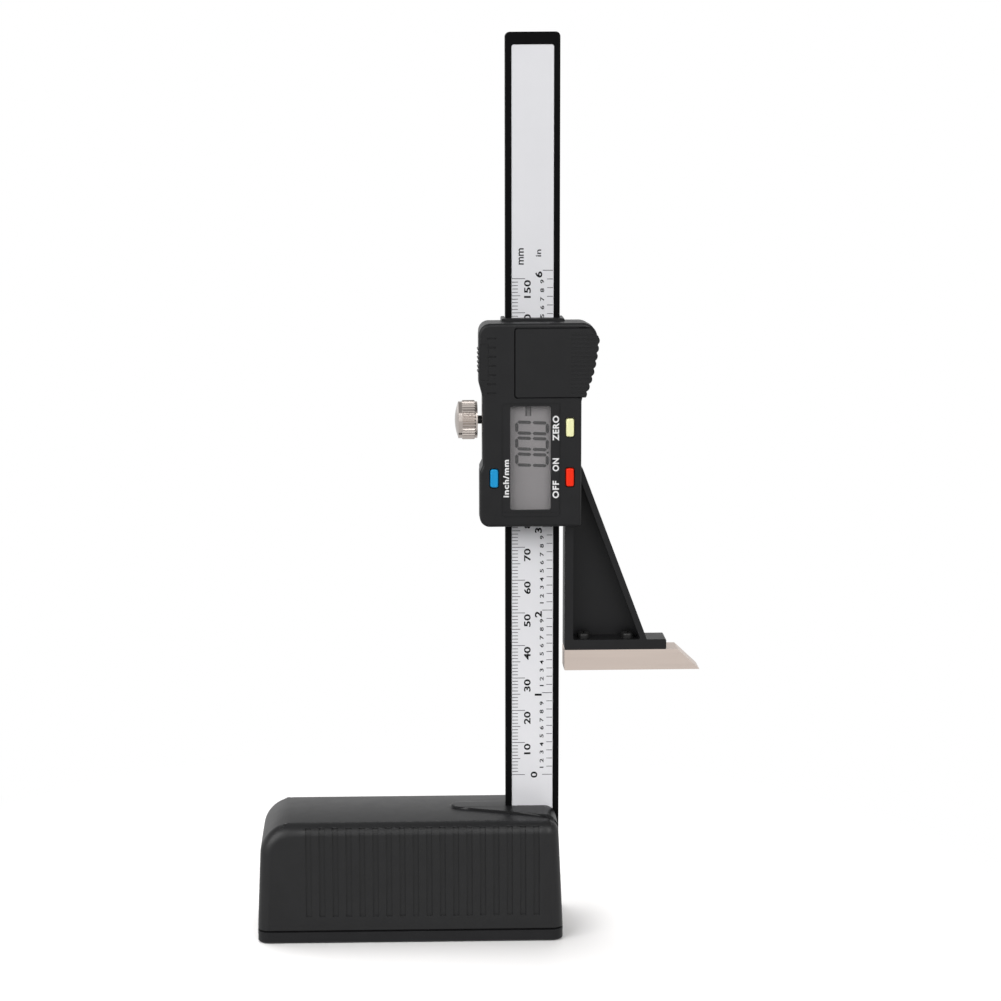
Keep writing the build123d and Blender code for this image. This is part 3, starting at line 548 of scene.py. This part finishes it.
def add_zero(bm, start, depth):
    """The digit 0: six strokes, in a frame that reads upwards."""
    tall = digit_foot - digit_head
    left, right = stroke / 2, digit_width - stroke / 2
    low, middle, high = stroke / 2, tall / 2, tall - stroke / 2
    gap = stroke_gap
    strokes = (
        ((left + gap, low), (right - gap, low)),
        ((left + gap, high), (right - gap, high)),
        ((left, low + gap), (left, middle - gap)),
        ((left, middle + gap), (left, high - gap)),
        ((right, low + gap), (right, middle - gap)),
        ((right, middle + gap), (right, high - gap)),
    )
    for a, b in strokes:
        points = [(digit_foot - up, start + along + digit_slant * up)
                  for along, up in stroke_shape(a, b)]
        add_shape(bm, points, depth)


def display_digits():
    """The reading 0.00 on the display."""
    bm = bmesh.new()
    for start in digit_starts:
        add_zero(bm, start, glass_print)
    for place in (point_place, *mark_strips):
        add_bar(bm, *place, glass_print)
    finish_print(bm, "display_digits", segment_ink, "slider")


def display_mark():
    """Unlit segment at the display's far end, just behind the strips on it."""
    bm = bmesh.new()
    add_bar(bm, *mark_place, glass_front - ghost_lift * MM)
    finish_print(bm, "display_mark", ghost_ink, "slider")


def key_words():
    """White words beside the keys."""
    bm = bmesh.new()
    for text, top, cap, low, high in KEY_WORDS:
        add_word(bm, text, top, cap, low, high, bezel_print, key_word_weight,
                 spacing=key_word_spacing)
    finish_print(bm, "key_words", ink_white, "slider")


scale_ticks()
scale_numbers()
display_digits()
display_mark()
key_words()


# Camera

def place_camera(position, tilt, yaw, roll, focal, shift):
    """Camera looking along +Y, tilted down and yawed towards +X; focal is in pixels."""
    data = bpy.data.cameras.new("camera")
    data.sensor_width = sensor_width
    data.lens = focal / picture_width * sensor_width
    data.shift_x = shift
    data.clip_start, data.clip_end = clip_range
    turn = Matrix.Rotation(math.radians(-yaw), 4, "Z")
    turn = turn @ Matrix.Rotation(math.radians(90 - tilt), 4, "X")
    turn = turn @ Matrix.Rotation(math.radians(roll), 4, "Z")
    cam = add_object("camera", data)
    cam.matrix_world = Matrix.Translation(position) @ turn
    bpy.context.scene.camera = cam


place_camera(position=Vector((-6.7, -740.7, 258.0)) * MM,
             tilt=9.72, yaw=0.8, roll=-0.396, focal=2525.5, shift=0.0814)


# Light and ground

def area_light(name, position, target, size, power, mirrored):
    """Square lamp aimed at a target, seen in reflections if mirrored."""
    data = bpy.data.lights.new(name, "AREA")
    data.size = size
    data.energy = power
    lamp = add_object(name, data)
    lamp.location = position
    aim = Vector(target) - Vector(position)
    lamp.rotation_euler = aim.to_track_quat("-Z", "Y").to_euler()
    lamp.visible_camera = False
    lamp.visible_glossy = mirrored


def ease(tree, value, near, far, start=0.0, end=1.0):
    """Value that goes smoothly from start at near to end at far."""
    node = tree.nodes.new("ShaderNodeMapRange")
    node.interpolation_type = "SMOOTHSTEP"
    node.inputs["From Min"].default_value = near
    node.inputs["From Max"].default_value = far
    node.inputs["To Min"].default_value = start
    node.inputs["To Max"].default_value = end
    tree.links.new(value, node.inputs["Value"])
    return node.outputs["Result"]


def ray_level(tree, path, scattered, mirrored):
    """White where it is seen, with a level for scattered light and one for reflections."""
    level = blend(tree, path.outputs["Is Glossy Ray"], scattered, mirrored)
    for name in ("Is Camera Ray", "Is Transmission Ray"):
        level = blend(tree, path.outputs[name], level, 1.0)
    return level


def white_world(light_level, ceiling):
    """White world, softer as a light, and dimmer overhead in reflections."""
    world = bpy.data.worlds.new("world")
    bpy.context.scene.world = world
    world.use_nodes = True
    tree = world.node_tree
    tree.nodes.clear()
    out = tree.nodes.new("ShaderNodeOutputWorld")
    shader = tree.nodes.new("ShaderNodeBackground")
    shader.inputs["Color"].default_value = (1, 1, 1, 1)
    tree.links.new(shader.outputs["Background"], out.inputs["Surface"])
    coord = tree.nodes.new("ShaderNodeTexCoord")
    split = tree.nodes.new("ShaderNodeSeparateXYZ")
    tree.links.new(coord.outputs["Generated"], split.inputs["Vector"])
    low, high = (math.sin(math.radians(angle)) for angle in (ceiling_low, ceiling_high))
    sky = ease(tree, split.outputs["Z"], low, high, 1.0, ceiling)
    path = tree.nodes.new("ShaderNodeLightPath")
    level = ray_level(tree, path, light_level, sky)
    tree.links.new(level, shader.inputs["Strength"])


def pale_floor(colour, light_level, mirror_level, near, far):
    """Floor that takes the object's shadow and fades into the white world round it."""
    bpy.ops.mesh.primitive_plane_add(size=floor_size, location=(0, 0, -floor_gap * MM))
    floor = bpy.context.object
    floor.name = "floor"
    mat, tree, bsdf = new_material("floor_white")
    bsdf.inputs["Base Color"].default_value = colour
    bsdf.inputs["Roughness"].default_value = 1.0
    bsdf.inputs["Specular IOR Level"].default_value = 0.0
    path = tree.nodes.new("ShaderNodeLightPath")
    away = tree.nodes.new("ShaderNodeEmission")
    tree.links.new(ray_level(tree, path, light_level, mirror_level), away.inputs["Strength"])
    place = tree.nodes.new("ShaderNodeNewGeometry")
    distance = tree.nodes.new("ShaderNodeVectorMath")
    distance.operation = "LENGTH"
    tree.links.new(place.outputs["Position"], distance.inputs[0])
    fade = ease(tree, distance.outputs["Value"], near, far)
    share = blend(tree, path.outputs["Is Glossy Ray"], fade, 1.0)
    mix = tree.nodes.new("ShaderNodeMixShader")
    tree.links.new(share, mix.inputs["Fac"])
    tree.links.new(bsdf.outputs["BSDF"], mix.inputs[1])
    tree.links.new(away.outputs["Emission"], mix.inputs[2])
    tree.links.new(mix.outputs["Shader"], tree.nodes["Material Output"].inputs["Surface"])
    floor.data.materials.append(mat)


white_world(world_light, ceiling_mirror)
pale_floor(floor_white, world_light, floor_mirror, *floor_fade)
for lamp in LAMPS:
    area_light(*lamp)

bpy.context.scene.view_settings.view_transform = "Standard"
bpy.context.scene.view_settings.look = "None"
